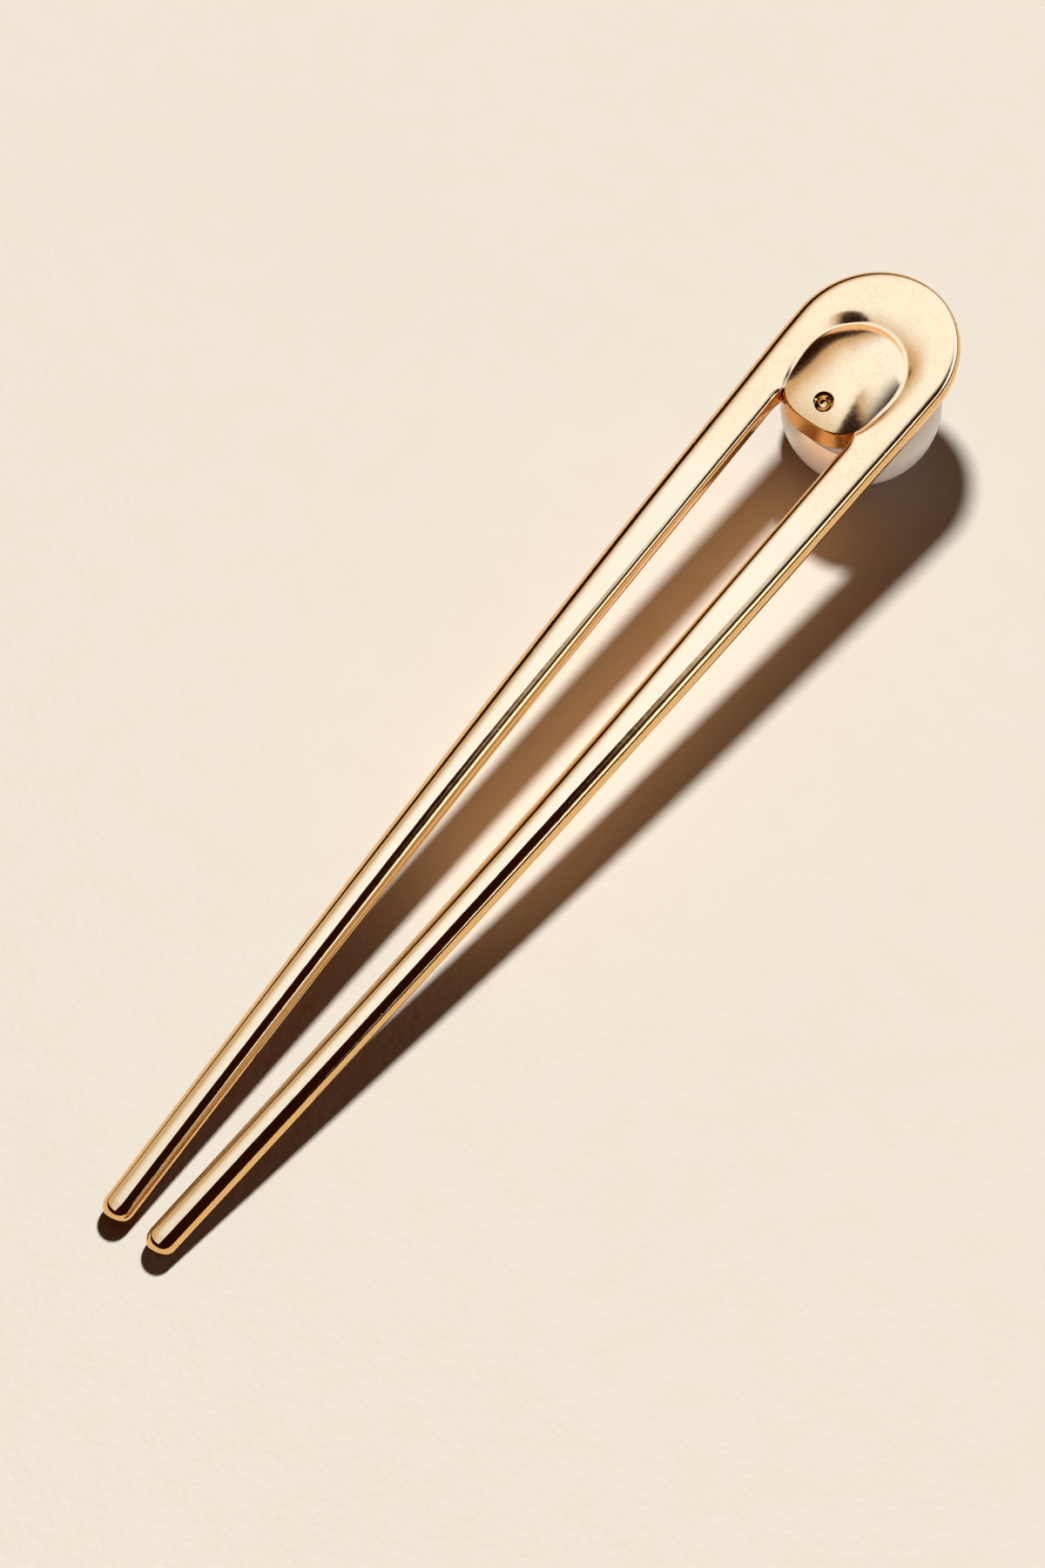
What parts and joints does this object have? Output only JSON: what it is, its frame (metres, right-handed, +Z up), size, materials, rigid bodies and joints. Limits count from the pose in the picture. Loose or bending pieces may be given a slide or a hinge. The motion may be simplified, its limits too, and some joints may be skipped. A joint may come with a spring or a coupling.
{
  "type": "hair u-pin",
  "caption": "Gilt cast hair pin with tapered, round-tipped legs, a flat arched head with a raised oval dome, and an imitation pearl on the front.",
  "frame": {"origin": "Bottom centre of the box round the pin as it lies at rest, on the surface that it lies on.", "axes": "+Y runs from the leg tips to the arched head, +X runs across both legs, +Z is up. The pin lies back upward on its pearl and both leg tips, so its back face leans 8.56 degrees back from level."},
  "size_m": [0.0166, 0.1192, 0.0204],
  "materials": {
    "gilt_casting": "zinc-alloy die casting, polished and gold plated, head back slightly satin",
    "pearl_coating": "moulded bead with a cream pearlescent coating under clear lacquer",
    "peg_brass": "plain drawn wire, as cut",
    "glue": "cured clear adhesive, smooth"
  },
  "bodies": {
    "root": {"pin_casting": "gilt_casting", "pearl": "pearl_coating", "pearl_peg": "peg_brass", "glue_ring": "glue"}
  },
  "joints": []
}
